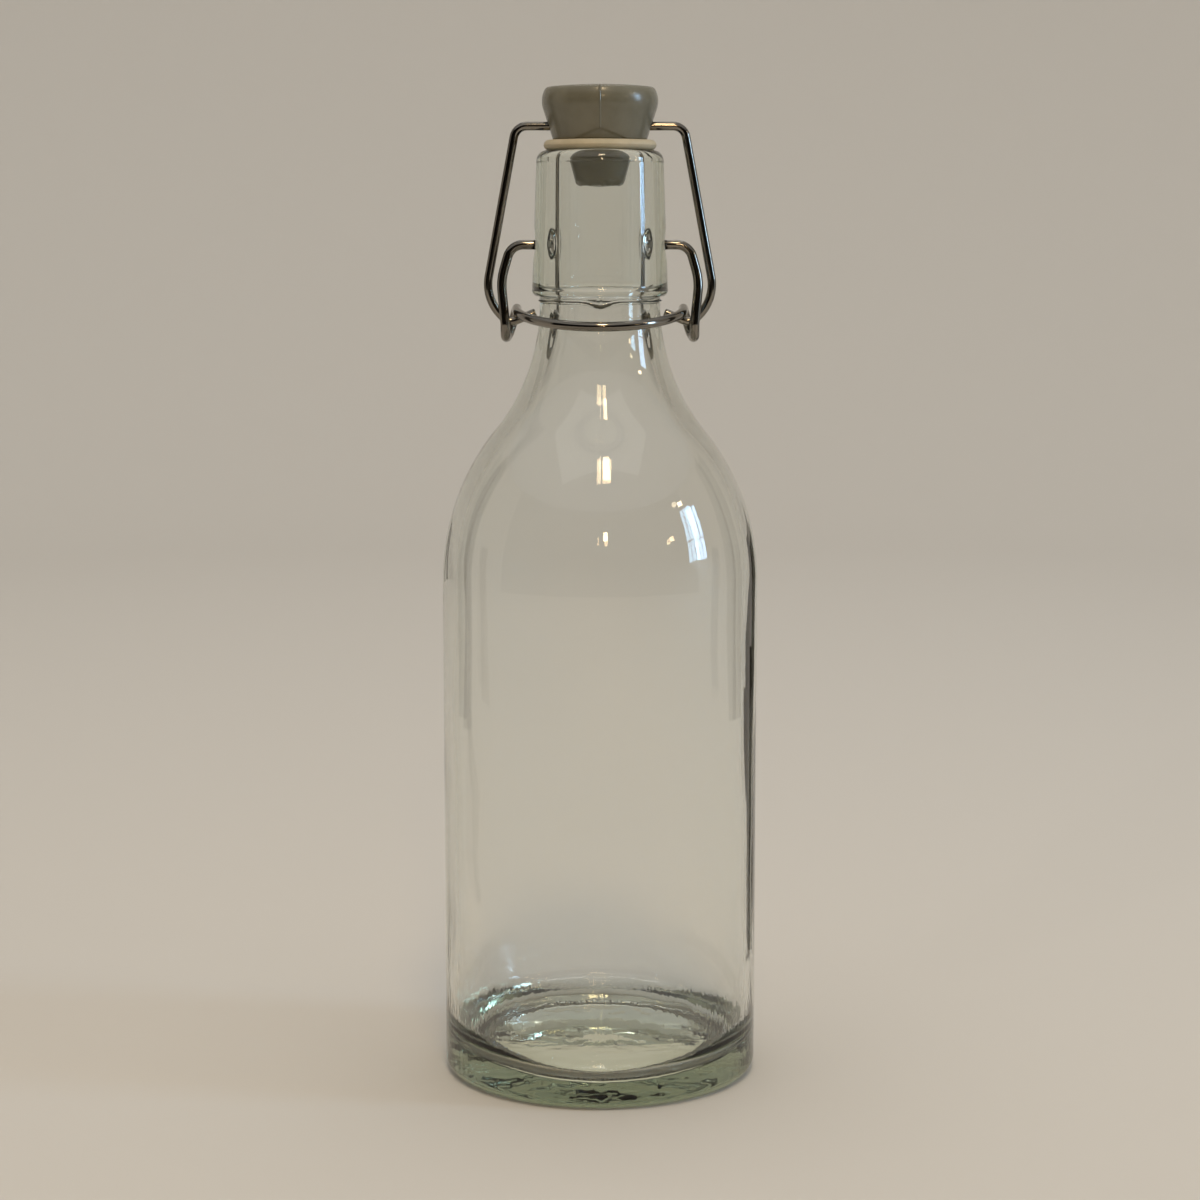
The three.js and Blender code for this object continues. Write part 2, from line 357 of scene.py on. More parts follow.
# One noise gives a finish its colours, and one its gloss and fine relief
def patternedFinish(tree, look, clouds, skin, metallic):
    colour = addNode(tree, "ShaderNodeValToRGB", {"Fac": clouds})
    for element, position, shade in zip(colour.color_ramp.elements, look["spread"], ("dark", "light")):
        element.position = position
        element.color = linearColour(look[shade])
    first, last = look["roughness"]
    gloss = addNode(tree, "ShaderNodeMapRange", {"Value": skin, "To Min": first, "To Max": last})
    relief = addNode(tree, "ShaderNodeBump", {"Height": skin, "Strength": 1, "Distance": look["relief"] * mm})
    shader = addNode(
        tree,
        "ShaderNodeBsdfPrincipled",
        {
            "Base Color": colour.outputs[0],
            "Metallic": metallic,
            "Roughness": gloss.outputs[0],
            "Normal": relief.outputs[0],
        },
    )
    addNode(tree, "ShaderNodeOutputMaterial", {"Surface": shader.outputs[0]})


def cloudedMaterial(name, look):
    material, tree = newMaterial(name)
    place = addNode(tree, "ShaderNodeTexCoord").outputs["Object"]
    noises = []
    for size, detail in (("cloud", 3), ("grain", 2)):
        settings = {"Vector": place, "Scale": 1 / (look[size] * mm), "Detail": detail}
        noises.append(addNode(tree, "ShaderNodeTexNoise", settings).outputs[0])
    patternedFinish(tree, look, *noises, metallic=0)
    return material


# Spring steel wire, drawn and bent: grey and shiny, with fine lines along the wire and a little dulling.
steelLook = {
    "light": "#918c84",
    "dark": "#635f59",
    "spread": (0.3, 0.6),
    "lineLong": 14,
    "lineWide": 0.22,  # coarser than real draw lines, so that they show
    "relief": 0.006,
    "roughness": (0.17, 0.08),  # duller in the dark lines
}


def drawnSteel():
    look = steelLook
    material, tree = newMaterial("drawn_steel_wire")
    drawn = addNode(tree, "ShaderNodeAttribute", attribute_name="drawn").outputs["Vector"]
    perMetre = [1 / (look[k] * mm) for k in ("lineLong", "lineWide", "lineWide")]
    stretched = addNode(tree, "ShaderNodeMapping", {"Vector": drawn, "Scale": perMetre})
    lines = addNode(tree, "ShaderNodeTexNoise", {"Vector": stretched.outputs[0], "Scale": 1, "Detail": 2})
    patternedFinish(tree, look, lines.outputs[0], lines.outputs[0], metallic=1)
    return material


clearGlass = sodaLimeGlass()
stopperPlastic = cloudedMaterial("moulded_stopper_plastic", plasticLook)
creamRubber = cloudedMaterial("moulded_cream_rubber", rubberLook)
scuffedShadedGlass = cloudedMaterial("scuffed_soda_lime_glass_painted_shade", scuffAndShadeLook)
wireSteel = drawnSteel()
print("materials made")


# Glass bottle: one closed skin, up the outside, over the lip and down the inside
glass = {
    "bodyRadius": glassHigh.x - 0.08,  # leaves room for the seams
    "bodyWall": 2.8,
    "heelRadius": 3.2,
    "heelSweep": 62,  # degrees of the heel's curve, below it the bottom runs almost level
    "bearingRadius": 29.8,
    "bearingWidth": 2.8,
    "footFlat": 0.01,  # what lies lower is on the ring
    "bottomOut": 0.3,  # the bottom begins this far outside the ring
    "bottomLift": 0.02,
    "puntDepth": 3.3,
    "puntInset": 0.4,  # its edge lies this far inside the ring and a little above the table
    "puntLift": 0.03,
    "floorThickness": 8,
    "floorRise": 0.3,
    "floorCorner": 7,
    "floorTilt": 0.12,  # blown thicker at the back
    "tiltTop": 15,  # where the tilt has died out up the wall
    "tiltFade": 0.4,  # and the share of that height where it begins to
    "shoulderStart": 116,
    "shoulderRadius": 55,
    "neckCurve": 46,
    "innerNeckCurve": 50,
    "boreRadius": 9.3,
    "neckWall": 4.5,
    "neckFillet": 0.3,
    "collarHeight": 33,
    "collarStep": 1.8,
    "collarTaper": 1.1,
    "collarCorner": 1.5,
    "lipRadius": 2.4,
    "innerLip": 1,
    "dimpleRadius": 3.3,
    "dimpleDepth": 3.3,
    "dimpleEdge": 0.3,  # rounding
    "dimpleSlope": 3,  # of its edge
    "seamHeight": 0.07,  # upright mould seams, front and back
    "seamWidth": 0.35,
    "seamFade": (6, 20),  # heights between which they rise from the smooth foot
    "ringHeight": 0.32,  # parting line round the neck
    "ringWidth": 0.2,
    "ringBelowCollar": 0.95,
    "ringDip": 1.1,  # small run of glass at the front
    "ringDipWidth": 2.6,
    "ringWaver": 0.25,
    "ringWaves": 3,
    "ringSeed": 7,
    "ringDustAndShade": 0.13,  # dust and painted shade lie in the line this far up and down
    "ringDustAndShadeFront": 0.3,  # and this much further at the front
    "lipLineHeight": 0.05,
    "lipLineWidth": 0.13,
    "lipLineBelowRim": 2.6,
    "unevenness": 0.28,  # of the inner wall, in swells and upright streaks
    "unevenSpan": 26,
    "unevenFade": (140, 178),  # heights between which the wall becomes even
    "streaks": 0.1,
    "streakWide": 9,
    "streakTall": 45,
    "floorRipple": 0.1,
    "floorRippleSpan": 8,
    "puntRipple": 0.13,
    "puntRippleSpan": 2.6,
    "puntRippleFade": 3,
    "knurlTicks": 160,  # on the ring that the bottle stands on
    "knurlDepth": 0.6,
    "columns": 240,  # round the bottle
    "columnsPerTick": 4,
    "seamColumns": (0.3, 0.6, 1),  # degrees beside each seam
    "dimpleSpread": 17,  # degrees beside each dimple where columns lie twice as close
    "dimpleRows": 1,  # rows lie close for this far above and below a dimple
    "ringRows": 2.2,  # for this far down the curve of the neck
    "lipLineRows": 0.8,  # and for this far below the lip
}
seamAngles = (-math.pi / 2, math.pi / 2)
dimpleAngles = (0, math.pi)


def curveAbove(shoulder, shoulderRadius, curveRadius, radius):
    across = radius + curveRadius - shoulder[0]
    up = math.sqrt((shoulderRadius + curveRadius) ** 2 - across**2)
    return (radius + curveRadius, shoulder[1] + up), math.degrees(math.atan2(up, across))


# Each stretch is a zone and its points, and ends with the spacing of its rows
def bottleRows():
    g = glass
    rim = glassHigh.z
    bore = g["boreRadius"]
    neck = bore + g["neckWall"]
    collar = neck + g["collarStep"]
    collarTop = collar - g["collarTaper"]
    foot = rim - g["collarHeight"]
    body, heelRadius = g["bodyRadius"], g["heelRadius"]
    bearing = g["bearingRadius"]
    bearingIn = bearing - g["bearingWidth"]
    punt = domePoints(bearingIn - g["puntInset"], g["puntLift"], g["puntDepth"] - g["puntLift"], 1)
    heel = arcPoints((body - heelRadius, heelRadius), heelRadius, -g["heelSweep"], 0, 0.5)
    bottomStart = (bearing + g["bottomOut"], g["bottomLift"])
    inner = body - g["bodyWall"]
    floorEdge = inner - g["floorCorner"]
    cornerTop = g["floorThickness"] + g["floorCorner"]
    shoulder = (body - g["shoulderRadius"], g["shoulderStart"])
    innerShoulder = g["shoulderRadius"] - g["bodyWall"]
    neckCentre, neckMeet = curveAbove(shoulder, g["shoulderRadius"], g["neckCurve"], neck)
    boreCentre, boreMeet = curveAbove(shoulder, innerShoulder, g["innerNeckCurve"], bore)
    nearRing = 180 + math.degrees(math.asin(g["ringRows"] / g["neckCurve"]))
    fillet, lip, innerLip = g["neckFillet"], g["lipRadius"], g["innerLip"]
    collarLow, collarHigh = foot + g["collarCorner"], rim - lip
    pivot, nearDimple = pivots["lever_swing"].z, g["dimpleRadius"] + g["dimpleRows"]
    dimpleLow, dimpleHigh = pivot - nearDimple, pivot + nearDimple
    fine = collarHigh - g["lipLineRows"]

    def collarAt(z):
        return collar - g["collarTaper"] * (z - foot) / (g["collarHeight"] - lip), z

    return zoned(
        [
            ("punt", punt[::-1]),
            ("bearing", linePoints((bearingIn, 0), (bearing, 0), 0.35)),
            ("heel", linePoints(bottomStart, heel[0], 1.5)),
            ("heel", heel),
            ("side", linePoints((body, heelRadius), (body, shoulder[1]), 6)),
            ("side", arcPoints(shoulder, g["shoulderRadius"], 0, neckMeet, 2)),
            ("neck", arcPoints(neckCentre, g["neckCurve"], 180 + neckMeet, nearRing, 1.8)),
            ("neck", arcPoints(neckCentre, g["neckCurve"], nearRing, 180, 0.14)),
            ("neck", linePoints((neck, neckCentre[1]), (neck, foot - fillet), 0.14)),
            ("collar", arcPoints((neck + fillet, foot - fillet), fillet, 180, 90, 0.12)),
            ("collar", arcPoints((collar - g["collarCorner"], collarLow), g["collarCorner"], -90, 0, 0.3)),
            ("collar", linePoints(collarAt(collarLow), collarAt(dimpleLow), 1)),
            ("collar", linePoints(collarAt(dimpleLow), collarAt(dimpleHigh), 0.3)),
            ("collar", linePoints(collarAt(dimpleHigh), collarAt(fine), 1.6)),
            ("collar", linePoints(collarAt(fine), collarAt(collarHigh), 0.1)),
            ("lip", arcPoints((collarTop - lip, collarHigh), lip, 0, 90, 0.3)),
            ("lip", arcPoints((bore + innerLip, rim - innerLip), innerLip, 90, 180, 0.25)),
            ("inside", linePoints((bore, rim - innerLip), (bore, boreCentre[1]), 2.5)),
            ("inside", arcPoints(boreCentre, g["innerNeckCurve"], 180, 180 + boreMeet, 2)),
            ("inside", arcPoints(shoulder, innerShoulder, boreMeet, 0, 2.5)),
            ("inside", linePoints((inner, shoulder[1]), (inner, cornerTop), 4)),
            ("inside", arcPoints((floorEdge, cornerTop), g["floorCorner"], 0, -90, 0.8)),
            ("floor", domePoints(floorEdge, g["floorThickness"], g["floorRise"], 1.5)),
        ]
    )


def besideSeams(degrees):
    offsets = [math.radians(d) for d in degrees]
    return [(seam + sign * d) % fullTurn for seam in seamAngles for sign in (-1, 1) for d in offsets]


def bottleAngles():
    g = glass
    even = evenAngles(g["columns"])
    between = [angle + even[1] / 2 for angle in even]
    spread = math.radians(g["dimpleSpread"])
    close = [angle for angle in between if min(apart(angle, d) for d in dimpleAngles) < spread]
    return sorted(even + close + besideSeams(g["seamColumns"]))


# Height of the parting line at an angle, and how far up and down dust and painted shade lie in it
def partingLine(radius, angle):
    g = glass
    front = hump(apart(angle, seamAngles[0]) * radius, g["ringDipWidth"])
    waver = g["ringWaver"] * ringNoise(angle, g["ringWaves"], g["ringSeed"])
    height = glassHigh.z - g["collarHeight"] - g["ringBelowCollar"] + waver - g["ringDip"] * front
    return height, g["ringDustAndShade"] + g["ringDustAndShadeFront"] * front


# Depth of a round dimple, with its edge softened
def dimpleAt(away):
    g = glass
    sphere = (g["dimpleRadius"] ** 2 + g["dimpleDepth"] ** 2) / (2 * g["dimpleDepth"])
    if away < g["dimpleRadius"]:
        depth = math.sqrt(sphere**2 - away**2) - sphere + g["dimpleDepth"]
    else:
        depth = g["dimpleSlope"] * (g["dimpleRadius"] - away)
    return (depth + math.hypot(depth, g["dimpleEdge"])) / 2


def bottleRelief(zone, radius, height, angle):
    g = glass
    at = Vector((radius * math.cos(angle), radius * math.sin(angle), height))
    if zone in ("side", "neck"):
        seam = min(apart(angle, s) for s in seamAngles) * radius
        lift = g["seamHeight"] * hump(seam, g["seamWidth"]) * softStep(*g["seamFade"], height)
        return lift + g["ringHeight"] * hump(height - partingLine(radius, angle)[0], g["ringWidth"])
    if zone == "collar":
        lift = g["lipLineHeight"] * hump(glassHigh.z - height - g["lipLineBelowRim"], g["lipLineWidth"])
        across = min(apart(angle, d) for d in dimpleAngles) * radius
        return lift - dimpleAt(math.hypot(across, height - pivots["lever_swing"].z))
    if zone == "inside":
        wide, tall = g["streakWide"], g["streakTall"]
        broad = noise.noise(at / g["unevenSpan"])
        streak = noise.noise(Vector((at.x / wide, at.y / wide, at.z / tall)))
        return (1 - softStep(*g["unevenFade"], height)) * (g["unevenness"] * broad + g["streaks"] * streak)
    if zone == "floor":
        return g["floorRipple"] * noise.noise(at / g["floorRippleSpan"])
    if zone == "punt":
        fade = softStep(0, g["puntRippleFade"], g["bearingRadius"] - g["bearingWidth"] - radius)
        return g["puntRipple"] * noise.noise(at / g["puntRippleSpan"]) * fade
    return 0


# Geometry Nodes: short notches across the bearing ring, cut upwards into the glass
def knurlTree():
    inputs = {"Bottle": "Geometry", "Ticks": "Int"}
    inputs.update(dict.fromkeys(("Depth", "Foot height", "Inner radius", "Outer radius"), "Float"))
    inputs.update(dict.fromkeys(("Glass", "Scuffed shaded glass"), "Material"))
    tree, given = newTree("bearingKnurl", inputs, "Bottle")
    position = addNode(tree, "GeometryNodeInputPosition").outputs[0]
    place = addNode(tree, "ShaderNodeSeparateXYZ", {0: position}).outputs
    turn = addNode(tree, "ShaderNodeMath", {0: place["Y"], 1: place["X"]}, operation="ARCTAN2")
    count = addNode(tree, "ShaderNodeMath", {0: turn.outputs[0], 1: given["Ticks"]}, operation="MULTIPLY")
    wave = addNode(tree, "ShaderNodeMath", {0: count.outputs[0]}, operation="COSINE")
    notch = addNode(tree, "ShaderNodeMath", {0: wave.outputs[0], 1: 0}, operation="MAXIMUM")
    flat = addNode(tree, "ShaderNodeCombineXYZ", {"X": place["X"], "Y": place["Y"]})
    across = addNode(tree, "ShaderNodeVectorMath", {0: flat.outputs[0]}, operation="LENGTH")
    share = addNode(
        tree,
        "ShaderNodeMapRange",
        {
            "Value": across.outputs["Value"],
            "From Min": given["Inner radius"],
            "From Max": given["Outer radius"],
        },
    )
    ridge = addNode(tree, "ShaderNodeMath", {0: share.outputs[0], 1: math.pi}, operation="MULTIPLY")
    band = addNode(tree, "ShaderNodeMath", {0: ridge.outputs[0]}, operation="SINE")
    shaped = addNode(tree, "ShaderNodeMath", {0: band.outputs[0], 1: notch.outputs[0]}, operation="MULTIPLY")
    rise = addNode(tree, "ShaderNodeMath", {0: shaped.outputs[0], 1: given["Depth"]}, operation="MULTIPLY")
    offset = addNode(tree, "ShaderNodeCombineXYZ", {"Z": rise.outputs[0]})
    low = addNode(
        tree, "FunctionNodeCompare", {0: place["Z"], 1: given["Foot height"]}, operation="LESS_THAN"
    )
    moved = addNode(
        tree,
        "GeometryNodeSetPosition",
        {"Geometry": given["Bottle"], "Selection": low.outputs[0], "Offset": offset.outputs[0]},
    )
    real = addNode(tree, "GeometryNodeRealizeInstances", {"Geometry": moved.outputs[0]})
    coated = addNode(
        tree, "GeometryNodeSetMaterial", {"Geometry": real.outputs[0], "Material": given["Glass"]}
    )
    # The ridges between the notches get the dull glass, whose dark colour is painted shade
    between = addNode(tree, "FunctionNodeCompare", {0: wave.outputs[0], 1: 0}, operation="LESS_THAN")
    ridges = addNode(
        tree, "FunctionNodeBooleanMath", {0: low.outputs[0], 1: between.outputs[0]}, operation="AND"
    )
    wornAndShaded = addNode(
        tree,
        "GeometryNodeSetMaterial",
        {"Geometry": coated.outputs[0], "Selection": ridges.outputs[0], "Material": given["Scuffed shaded glass"]},
    )
    addNode(tree, "NodeGroupOutput", {"Bottle": wornAndShaded.outputs[0]})
    return tree


def tiltFloor(mesh):
    g = glass
    innerWall = (g["bodyRadius"] - g["bodyWall"] / 2) * mm
    for vertex in mesh.vertices:
        x, y, z = vertex.co
        if math.hypot(x, y) < innerWall and g["heelRadius"] * mm < z < g["tiltTop"] * mm:
            vertex.co.z += g["floorTilt"] * y * (1 - softStep(g["tiltFade"], 1, z / mm / g["tiltTop"]))


# Faces along the parting line get the dull glass, dusty and coloured dark as painted shade
def dustAndShadeLine(mesh):
    dustyShaded = mesh.materials.find(scuffedShadedGlass.name)
    neckMiddle = glass["boreRadius"] + glass["neckWall"] / 2
    for face in mesh.polygons:
        x, y, z = face.center / mm
        reach = math.hypot(x, y)
        line, dust = partingLine(reach, math.atan2(y, x))
        if reach > neckMiddle and abs(z - line) < dust:
            face.material_index = dustyShaded


def makeBottle():
    g = glass
    angles = bottleAngles()
    knurled = evenAngles(g["columnsPerTick"] * g["knurlTicks"])

    def columns(zone):
        return knurled if zone == "bearing" else angles

    mesh = turnedMesh("bottle_skin", bottleRows(), columns, bottleRelief)
    tiltFloor(mesh)
    outer = g["bearingRadius"] * mm
    values = {
        "Ticks": g["knurlTicks"],
        "Depth": g["knurlDepth"] * mm,
        "Foot height": g["footFlat"] * mm,
        "Inner radius": outer - g["bearingWidth"] * mm,
        "Outer radius": outer,
        "Glass": clearGlass,
        "Scuffed shaded glass": scuffedShadedGlass,
    }
    bottle = meshFromTree(newObject("bottle_skin", mesh), knurlTree(), values, "blown_glass_bottle")
    dustAndShadeLine(bottle.data)
    placePiece(bottle, "glass_bottle", "bottle")


makeBottle()


# Stopper: tapered head with a shallow domed top, a stem for the gasket and a plug
stopper = {
    "headRadius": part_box("stopper")[1].x / mm,
    "headBottom": pivots["stopper_tilt"].z - 3.1,
    "widestHeight": 8.64,
    "crownRadius": 5.5,
    "crownAngle": 28,
    "topEdge": 1.1,
    "topSlope": 6,
    "taperAngle": 18,
    "footRound": 0.4,
    "bore": 1.25,
    "stemRadius": 5.6,
    "stemBottom": glassHigh.z,
    "plugRadius": 6.85,
    "plugTaper": 1.45,
    "plugLength": 7.4,
    "plugShoulder": 0.8,
    "plugStraight": 1.9,
    "flangeRadius": 7.8,  # rim that keeps the gasket on the stem
    "flangeHeight": 1.3,
    "flangeRound": 0.2,
    "flangeSlope": 0.4,  # height over which the plug widens to it
    "plugTipRound": 1.7,
    "plugBelly": 0.35,  # its end bulges down by this
    "flash": 0.3,  # ragged edge at the plug's tip
    "flashWaves": 4,
    "seamHeight": 0.2,
    "seamWidth": 0.15,
    "chevronHeight": 2.4,  # two-legged mark at the foot of the seam
    "chevronHalfWidth": 6.2,
    "chevronDepth": 0.2,
    "chevronEdge": (0.93, 1.03),  # shares of the mark's height over which its edge and the seam rise
    "seamRise": (0.9, 1.05),
    "columns": 180,
    "seamColumns": (0.3, 0.6, 0.9, 1.3, *range(3, 30, 2)),  # degrees beside each seam
    "boreSides": 48,
    "drillLength": 40,
    "sharpAngle": 38,  # edges that bend more stay crisp
}


def stopperRows():
    s = stopper
    foot = s["headBottom"]
    plugTop = s["stemBottom"] - s["plugShoulder"]
    tip = plugTop - s["plugLength"]
    straightEnd = plugTop - s["plugStraight"]
    flangeFoot = plugTop - s["flangeHeight"]
    taper = math.atan(s["plugTaper"] / (straightEnd - tip))
    plug, flange, curl = s["plugRadius"], s["flangeRadius"], s["flangeRound"]
    slopeFoot = (plug, flangeFoot - s["flangeSlope"])
    stemFoot = (s["stemRadius"], s["stemBottom"])
    tipRound = s["plugTipRound"]
    sideEnd = tip + tipRound * (1 - math.sin(taper))
    tipFlat = plug - (straightEnd - sideEnd) * math.tan(taper) - tipRound * math.cos(taper)
    tipArc = arcPoints((tipFlat, tip + tipRound), tipRound, -90, -math.degrees(taper), 0.15)
    crown = (s["headRadius"] - s["crownRadius"], foot + s["widestHeight"])
    reach = s["crownRadius"] - s["topEdge"]
    lean = math.radians(s["crownAngle"])
    edgeCentre = (crown[0] + reach * math.cos(lean), crown[1] + reach * math.sin(lean))
    edge = arcPoints(edgeCentre, s["topEdge"], s["crownAngle"], 90 - s["topSlope"], 0.25)
    crownArc = arcPoints(crown, s["crownRadius"], -s["taperAngle"], s["crownAngle"], 0.4)
    slope = math.tan(math.radians(s["taperAngle"]))
    rounded = s["footRound"]
    lowest = (crownArc[0][0] - (crownArc[0][1] - foot - rounded) * slope, foot + rounded)
    rise = edge[-1][0] * math.tan(math.radians(s["topSlope"] / 2))
    return zoned(
        [
            ("plug", linePoints((0, tip - s["plugBelly"]), (tipFlat, tip), 0.6)),
            ("tip", tipArc),
            ("plug", linePoints(tipArc[-1], (plug, straightEnd), 0.4)),
            ("plug", linePoints((plug, straightEnd), slopeFoot, 0.3)),
            ("plug", linePoints(slopeFoot, (flange - curl, flangeFoot), 0.3)),
            ("plug", arcPoints((flange - curl, flangeFoot + curl), curl, -60, 0, 0.1)),
            ("plug", linePoints((flange, flangeFoot + curl), (flange, plugTop), 0.4)),
            ("plug", linePoints((flange, plugTop), stemFoot, 0.3)),
            ("stem", linePoints(stemFoot, (s["stemRadius"], foot), 0.7)),
            ("stem", linePoints((s["stemRadius"], foot), (lowest[0] - rounded, foot), 0.8)),
            ("head", arcPoints((lowest[0] - rounded, foot + rounded), rounded, -90, 0, 0.12)),
            ("head", linePoints(lowest, crownArc[0], 0.3)),
            ("head", crownArc),
            ("head", edge),
            ("top", domePoints(edge[-1][0], edge[-1][1], rise, 0.8)),
        ]
    )


def stopperRelief(zone, radius, height, angle):
    s = stopper
    if zone == "tip":
        return s["flash"] * ringNoise(angle, s["flashWaves"], height)
    if zone != "head":
        return 0
    away = min(apart(angle, seam) for seam in seamAngles) * radius
    climb = (height - s["headBottom"]) / s["chevronHeight"] + away / s["chevronHalfWidth"]
    lift = s["seamHeight"] * hump(away, s["seamWidth"]) * softStep(*s["seamRise"], climb)
    return lift - s["chevronDepth"] * (1 - softStep(*s["chevronEdge"], climb))


def makeDrill():
    s = stopper
    bm = bmesh.new()
    bmesh.ops.create_cone(
        bm,
        cap_ends=True,
        segments=s["boreSides"],
        radius1=s["bore"] * mm,
        radius2=s["bore"] * mm,
        depth=s["drillLength"] * mm,
    )
    for vertex in bm.verts:
        x, y, z = vertex.co
        vertex.co = (z, y, -x + pivots["stopper_tilt"].z * mm)  # laid along X
    return newObject("drill", meshFrom(bm, "drill"))


def makeStopper():
    angles = sorted(evenAngles(stopper["columns"]) + besideSeams(stopper["seamColumns"]))
    mesh = turnedMesh("stopper", stopperRows(), lambda zone: angles, stopperRelief)
    piece = newObject("moulded_stopper", mesh)
    drill = makeDrill()
    modifier = piece.modifiers.new("bore", "BOOLEAN")
    modifier.operation = "DIFFERENCE"
    modifier.solver = "EXACT"
    modifier.object = drill
    bored = modifiedMesh(piece, modifier)
    bpy.data.objects.remove(drill)
    bored.set_sharp_from_angle(angle=math.radians(stopper["sharpAngle"]))
    bored.materials.clear()
    bored.materials.append(stopperPlastic)
    piece.data = bored
    placePiece(piece, "stopper", "stopper")


makeStopper()


# Gasket: a soft ring squeezed between the rim and the stopper's head, bulging at its edge
gasketGap = 0.03  # to the rim and to the stopper's head
gasket = {
    "holeRadius": 5.7,
    "edgeRadius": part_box("gasket")[1].x / mm,
    "bottom": glassHigh.z + gasketGap,
    "top": stopper["headBottom"] - gasketGap,
    "lastRow": 0.5,  # above the bottom, from there the ring closes
    "flashHeight": 0.06,
    "flashWidth": 0.18,
    "waver": 0.05,
    "waverWaves": 1.6,
    "waverSeed": 5,
    "columns": 200,
}


def gasketRows():
    s = gasket
    middle = (s["bottom"] + s["top"]) / 2
    bulge = (s["top"] - s["bottom"]) / 2
    centre = (s["edgeRadius"] - bulge - s["flashHeight"] - s["waver"], middle)
    lastPoint = (s["holeRadius"], s["bottom"] + s["lastRow"])
    return zoned(
        [
            ("flat", linePoints((s["holeRadius"], s["bottom"]), (centre[0], s["bottom"]), 0.8)),
            ("edge", arcPoints(centre, bulge, -90, 90, 0.12)),
            ("flat", linePoints((centre[0], s["top"]), (s["holeRadius"], s["top"]), 0.8)),
            ("flat", linePoints((s["holeRadius"], s["top"]), lastPoint, 0.7)),
        ]
    )


def gasketRelief(zone, radius, height, angle):
    s = gasket
    if zone == "flat":
        return 0
    middle = (s["bottom"] + s["top"]) / 2
    share = 1 - ((height - middle) / (s["top"] - middle)) ** 2
    waver = ringNoise(angle, s["waverWaves"], s["waverSeed"])
    return s["waver"] * waver * share + s["flashHeight"] * hump(height - middle, s["flashWidth"])


def makeGasket():
    angles = evenAngles(gasket["columns"])
    mesh = turnedMesh("moulded_gasket", gasketRows(), lambda zone: angles, gasketRelief)
    mesh.materials.append(creamRubber)
    placePiece(newObject("moulded_gasket", mesh), "gasket", "stopper")


makeGasket()


# Wires: Geometry Nodes sweep a round section along a path and keep where each point lies along and across it
def wireTree():
    inputs = {"Path": "Geometry", "Wire radius": "Float", "Sides": "Int", "Steel": "Material"}
    tree, given = newTree("wireAlongPath", inputs, "Wire")
    along = addNode(tree, "GeometryNodeCaptureAttribute", {"Geometry": given["Path"]})
    along.capture_items.new("FLOAT", "Along")
    tree.links.new(addNode(tree, "GeometryNodeSplineParameter").outputs["Length"], along.inputs["Along"])
    section = addNode(
        tree,
        "GeometryNodeCurvePrimitiveCircle",
        {"Resolution": given["Sides"], "Radius": given["Wire radius"]},
        mode="RADIUS",
    )
    around = addNode(tree, "GeometryNodeCaptureAttribute", {"Geometry": section.outputs["Curve"]})
    around.capture_items.new("VECTOR", "Around")
    tree.links.new(addNode(tree, "GeometryNodeInputPosition").outputs[0], around.inputs["Around"])
    tube = addNode(
        tree,
        "GeometryNodeCurveToMesh",
        {
            "Curve": along.outputs["Geometry"],
            "Profile Curve": around.outputs["Geometry"],
            "Scale": addNode(tree, "GeometryNodeInputRadius").outputs[0],
            "Fill Caps": True,
        },
    )
    across = addNode(tree, "ShaderNodeSeparateXYZ", {0: around.outputs["Around"]}).outputs
    drawn = addNode(
        tree, "ShaderNodeCombineXYZ", {"X": along.outputs["Along"], "Y": across["X"], "Z": across["Y"]}
    )
    kept = addNode(
        tree,
        "GeometryNodeStoreNamedAttribute",
        {"Geometry": tube.outputs["Mesh"], "Name": "drawn"},
        data_type="FLOAT_VECTOR",
        domain="POINT",
    )
    tree.links.new(drawn.outputs[0], kept.inputs["Value"])
    smooth = addNode(tree, "GeometryNodeSetShadeSmooth", {"Geometry": kept.outputs[0]})
    real = addNode(tree, "GeometryNodeRealizeInstances", {"Geometry": smooth.outputs[0]})
    coated = addNode(
        tree, "GeometryNodeSetMaterial", {"Geometry": real.outputs[0], "Material": given["Steel"]}
    )
    addNode(tree, "NodeGroupOutput", {"Wire": coated.outputs[0]})
    return tree


sweptWire = wireTree()
wireStep = 0.6
wireSides = 24
cutEnd = {0: 0.72, 0.12: 0.92, 0.35: 1}  # how far from a cut end, and how thick the wire is there


def bentPath(corners, radii):
    points = [corners[0]]
    for before, corner, after, radius in zip(corners, corners[1:], corners[2:], radii):
        along, away = (corner - before).normalized(), (after - corner).normalized()
        turn = along.angle(away)
        inward = (away - along * away.dot(along)).normalized()
        start = corner - along * radius * math.tan(turn / 2)
        count = max(3, math.ceil(turn * radius / wireStep))
        for angle in (turn * i / count for i in range(count + 1)):
            points.append(start + along * radius * math.sin(angle) + inward * radius * (1 - math.cos(angle)))
    return points + [corners[-1]]


def otherSide(points):
    return [Vector((-p.x, p.y, p.z)) for p in reversed(points)]


def sweepWire(name, points, radius):
    start, end = points[0], points[-1]
    outward = [(points[1] - start).normalized(), (points[-2] - end).normalized()]
    first = [(start + outward[0] * d, share) for d, share in cutEnd.items()]
    last = [(end + outward[1] * d, share) for d, share in reversed(cutEnd.items())]
    route = first + [(p, 1) for p in points[1:-1]] + last
    curve = bpy.data.curves.new(name + "_path", "CURVE")
    curve.dimensions = "3D"
    spline = curve.splines.new("POLY")
    spline.points.add(len(route) - 1)
    for target, (point, share) in zip(spline.points, route):
        target.co = (*(point * mm), 1)
        target.radius = share
    values = {"Wire radius": radius * mm, "Sides": wireSides, "Steel": wireSteel}
    return meshFromTree(newObject(name + "_path", curve), sweptWire, values, name)


